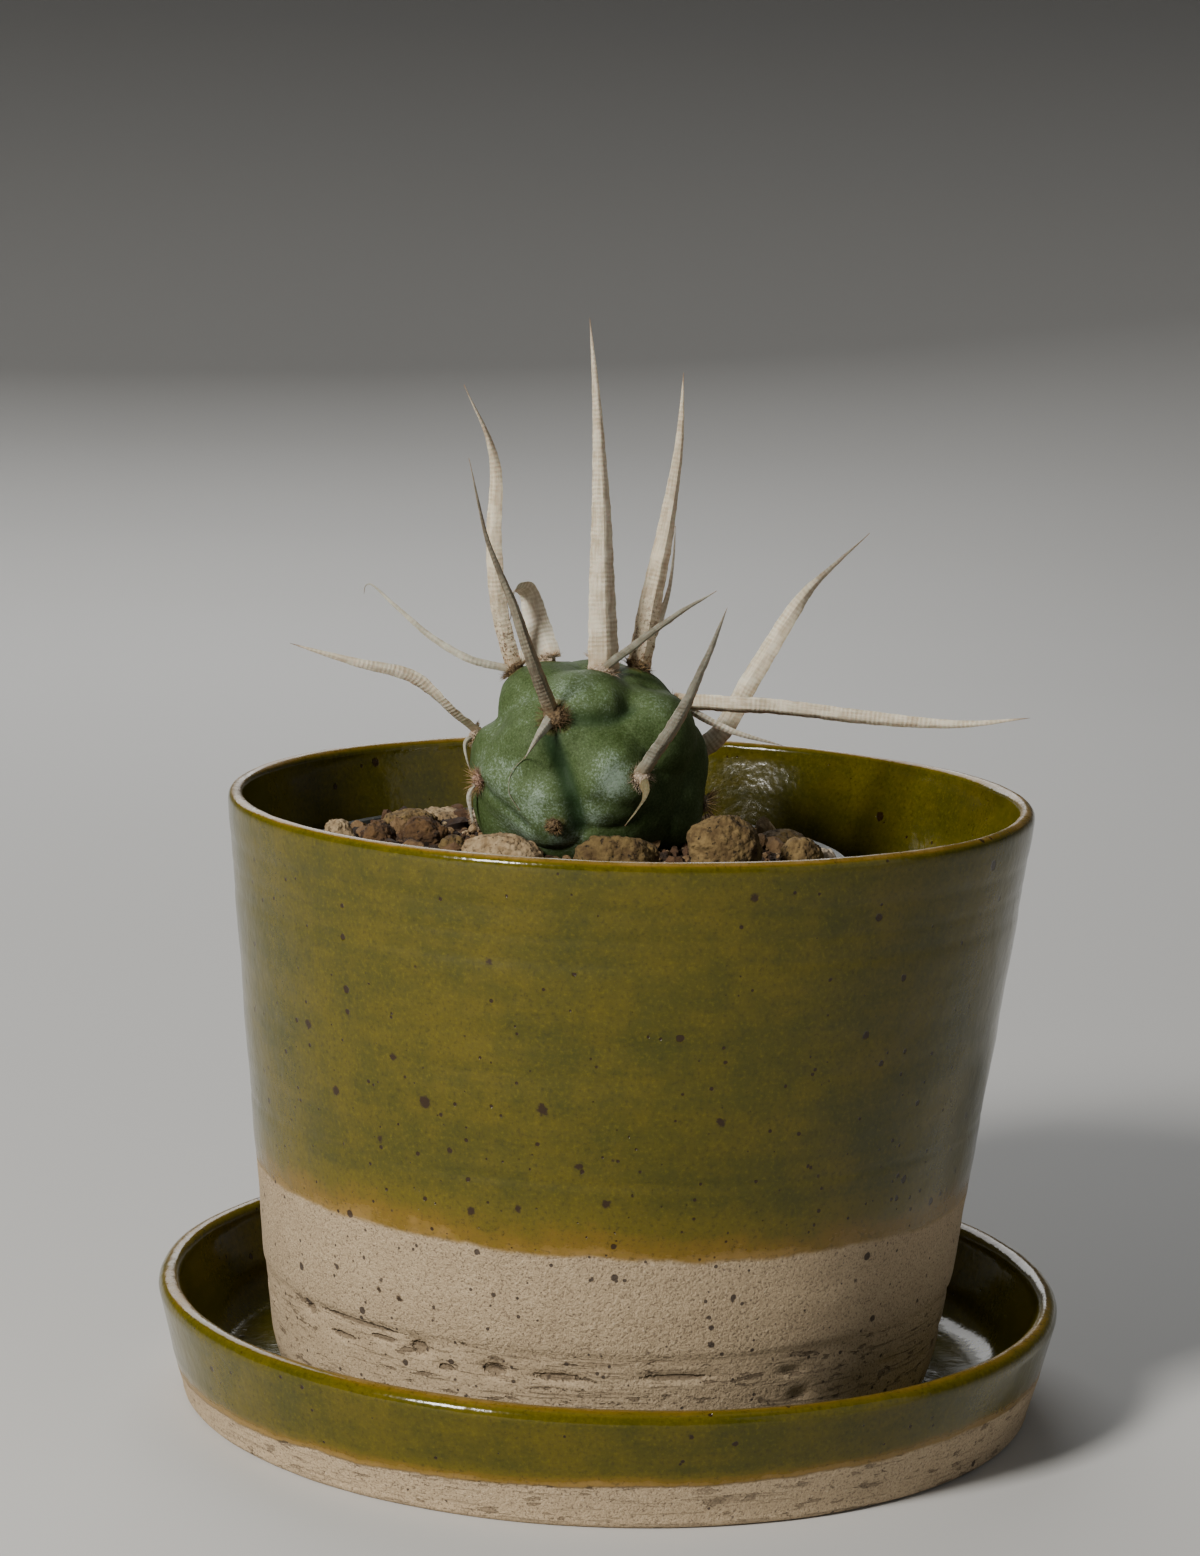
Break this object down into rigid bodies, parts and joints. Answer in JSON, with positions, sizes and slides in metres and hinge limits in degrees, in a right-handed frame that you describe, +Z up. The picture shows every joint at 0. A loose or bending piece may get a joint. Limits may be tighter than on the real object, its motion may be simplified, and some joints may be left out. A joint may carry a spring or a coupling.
{
  "type": "potted paper spine cactus",
  "caption": "Small papery-spined cactus rooted in gritty soil in a clear nursery pot, set inside a glazed stoneware pot that stands on its own saucer.",
  "frame": {"origin": "middle of the saucer's underside, on the surface that the object stands on", "axes": "+Z up; -Y is the front that the picture shows; +X is to the right seen from that front"},
  "size_m": [0.1304, 0.1304, 0.1554],
  "materials": {
    "glazed_stoneware": "gloss",
    "clear_plastic": "gloss",
    "soil": "matte",
    "cactus_skin": "matte",
    "paper_spines": "matte",
    "areole_wool": "matte",
    "stones": "matte"
  },
  "bodies": {
    "root": {"saucer": "glazed_stoneware", "stoneware_pot": "glazed_stoneware", "nursery_pot": "clear_plastic", "soil": "soil", "cactus_body": "cactus_skin", "areole_front_left": "paper_spines", "areole_front_right": "paper_spines", "areole_left_high": "paper_spines", "areole_left_mid": "paper_spines", "areole_left_low": "areole_wool", "areole_front_low": "areole_wool", "areole_crown_front": "paper_spines", "areole_crown_right": "paper_spines", "areole_crown_left": "paper_spines", "areole_crown_back_left": "paper_spines", "areole_right_high": "paper_spines", "areole_right_low": "areole_wool", "areole_back_crown": "paper_spines", "areole_back_right": "paper_spines", "areole_back_left": "paper_spines", "areole_side_right": "paper_spines", "areole_back_mid": "paper_spines", "areole_side_left": "areole_wool", "areole_back_low_right": "areole_wool", "areole_back_low_left": "areole_wool", "stone_pale_left": "stones", "stone_crumb_left": "stones", "stone_lava_left": "stones", "stone_lava_mid_left": "stones", "stone_flat_pale": "stones", "stone_flat_brown": "stones", "stone_round_right": "stones", "stone_small_right": "stones", "stone_pale_right": "stones", "stone_ring_1": "stones", "stone_ring_2": "stones", "stone_ring_3": "stones", "stone_ring_4": "stones", "stone_ring_5": "stones", "stone_ring_6": "stones", "stone_ring_7": "stones", "stone_ring_8": "stones"}
  },
  "joints": []
}
